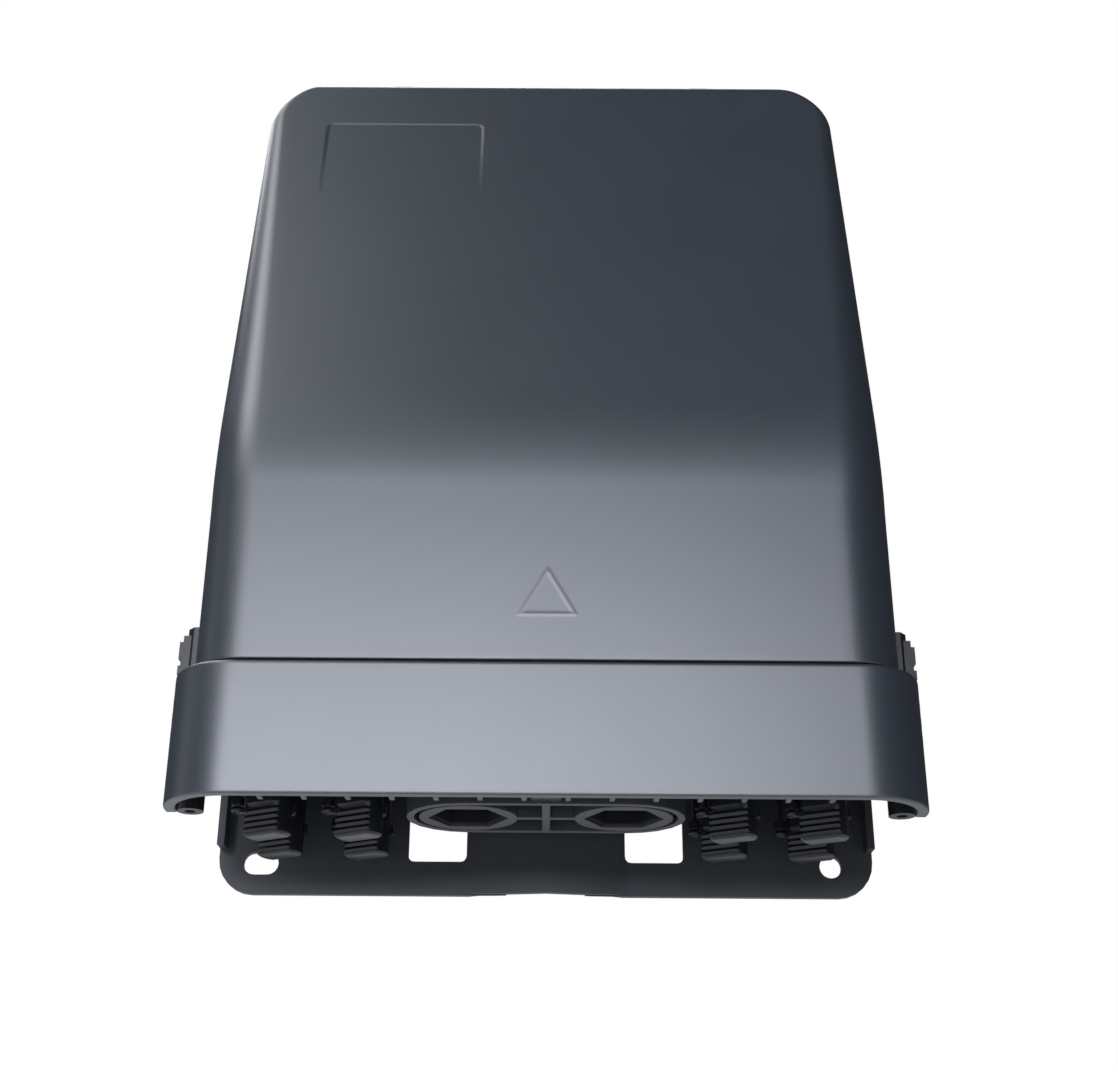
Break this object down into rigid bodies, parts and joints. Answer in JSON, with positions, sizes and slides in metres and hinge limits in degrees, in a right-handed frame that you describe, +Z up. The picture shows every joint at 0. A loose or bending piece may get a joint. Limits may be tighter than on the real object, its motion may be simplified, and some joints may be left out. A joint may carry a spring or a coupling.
{
  "type": "fibre termination box",
  "caption": "Wall-hung fibre termination box with a leaning hinged cover, a skirt, side clasps, capped drop ports, a gland block and a splice tray inside.",
  "frame": {"origin": "on the wall plane, in the middle of the wall plate's bottom edge", "axes": "+X to the right as seen from the front, +Y into the wall, +Z up"},
  "size_m": [0.2378, 0.0803, 0.322],
  "materials": {
    "housing": "fine grained, charcoal",
    "cover": "fine grained satin, charcoal blue-grey",
    "adapter": "satin",
    "cap": "satin near-black",
    "clasp": "satin near-black",
    "seal": "matt",
    "steel": "bright",
    "white_plastic": "satin",
    "tray": "satin",
    "clear_cover": "clear",
    "fibre": "smooth"
  },
  "bodies": {
    "base": {"base_housing": "housing", "cable_gland_block": "housing", "cable_clamp_left": "housing", "cable_clamp_right": "housing", "port_seal_left": "seal", "port_seal_right": "seal", "gasket": "seal", "drop_adapter_1": "adapter", "drop_adapter_2": "adapter", "drop_adapter_3": "adapter", "drop_adapter_4": "adapter", "drop_adapter_5": "adapter", "drop_adapter_6": "adapter", "drop_adapter_7": "adapter", "drop_adapter_8": "adapter", "splitter_module": "white_plastic", "fibre_spool": "white_plastic", "tray_bracket": "steel", "tray_hinge_pin": "steel", "hinge_pin_left": "steel", "hinge_pin_right": "steel", "clasp_pin_left": "steel", "clasp_pin_right": "steel", "gland_screw_1": "steel", "gland_screw_2": "steel", "clamp_screw_left": "steel", "clamp_screw_right": "steel"},
    "cover": {"cover_lid": "cover", "cover_skirt": "cover", "skirt_screw_1": "steel", "skirt_screw_2": "steel", "skirt_screw_3": "steel", "skirt_screw_4": "steel"},
    "splice_tray": {"splice_tray": "tray", "sleeve_holder": "tray", "tray_cover": "clear_cover", "fibre_loop": "fibre"},
    "clasp_left": {"clasp_left": "clasp"},
    "clasp_right": {"clasp_right": "clasp"},
    "cap_1": {"dust_cap_1": "cap", "cap_tether_1": "cap"},
    "cap_2": {"dust_cap_2": "cap", "cap_tether_2": "cap"},
    "cap_3": {"dust_cap_3": "cap", "cap_tether_3": "cap"},
    "cap_4": {"dust_cap_4": "cap", "cap_tether_4": "cap"},
    "cap_5": {"dust_cap_5": "cap", "cap_tether_5": "cap"},
    "cap_6": {"dust_cap_6": "cap", "cap_tether_6": "cap"},
    "cap_7": {"dust_cap_7": "cap", "cap_tether_7": "cap"},
    "cap_8": {"dust_cap_8": "cap", "cap_tether_8": "cap"}
  },
  "joints": [
    {"name": "cover_hinge", "type": "hinge", "parent": "base", "child": "cover", "pos_m": [0, -0.0155, 0.313], "axis": [-1, 0, 0], "range_deg": [0, 110]},
    {"name": "splice_tray_hinge", "type": "hinge", "parent": "base", "child": "splice_tray", "pos_m": [0, -0.034, 0.252], "axis": [-1, 0, 0], "range_deg": [0, 80]},
    {"name": "clasp_left_hinge", "type": "hinge", "parent": "base", "child": "clasp_left", "pos_m": [-0.1126, -0.044, 0.0175], "axis": [0, 0, -1], "range_deg": [0, 100]},
    {"name": "clasp_right_hinge", "type": "hinge", "parent": "base", "child": "clasp_right", "pos_m": [0.1126, -0.044, 0.0175], "axis": [0, 0, 1], "range_deg": [0, 100]},
    {"name": "cap_1_twist", "type": "hinge", "parent": "base", "child": "cap_1", "pos_m": [-0.087, -0.048, 0.0085], "axis": [0, 0, 1], "range_deg": [0, 45]},
    {"name": "cap_2_twist", "type": "hinge", "parent": "base", "child": "cap_2", "pos_m": [-0.087, -0.0213, 0.0085], "axis": [0, 0, 1], "range_deg": [0, 45]},
    {"name": "cap_3_twist", "type": "hinge", "parent": "base", "child": "cap_3", "pos_m": [-0.0586, -0.048, 0.0085], "axis": [0, 0, 1], "range_deg": [0, 45]},
    {"name": "cap_4_twist", "type": "hinge", "parent": "base", "child": "cap_4", "pos_m": [-0.0586, -0.0213, 0.0085], "axis": [0, 0, 1], "range_deg": [0, 45]},
    {"name": "cap_5_twist", "type": "hinge", "parent": "base", "child": "cap_5", "pos_m": [0.0586, -0.048, 0.0085], "axis": [0, 0, 1], "range_deg": [0, 45]},
    {"name": "cap_6_twist", "type": "hinge", "parent": "base", "child": "cap_6", "pos_m": [0.0586, -0.0213, 0.0085], "axis": [0, 0, 1], "range_deg": [0, 45]},
    {"name": "cap_7_twist", "type": "hinge", "parent": "base", "child": "cap_7", "pos_m": [0.087, -0.048, 0.0085], "axis": [0, 0, 1], "range_deg": [0, 45]},
    {"name": "cap_8_twist", "type": "hinge", "parent": "base", "child": "cap_8", "pos_m": [0.087, -0.0213, 0.0085], "axis": [0, 0, 1], "range_deg": [0, 45]}
  ],
  "couplings": [
    {"joint": "splice_tray_hinge", "follows": "cover_hinge", "ratio": 0.7}
  ]
}
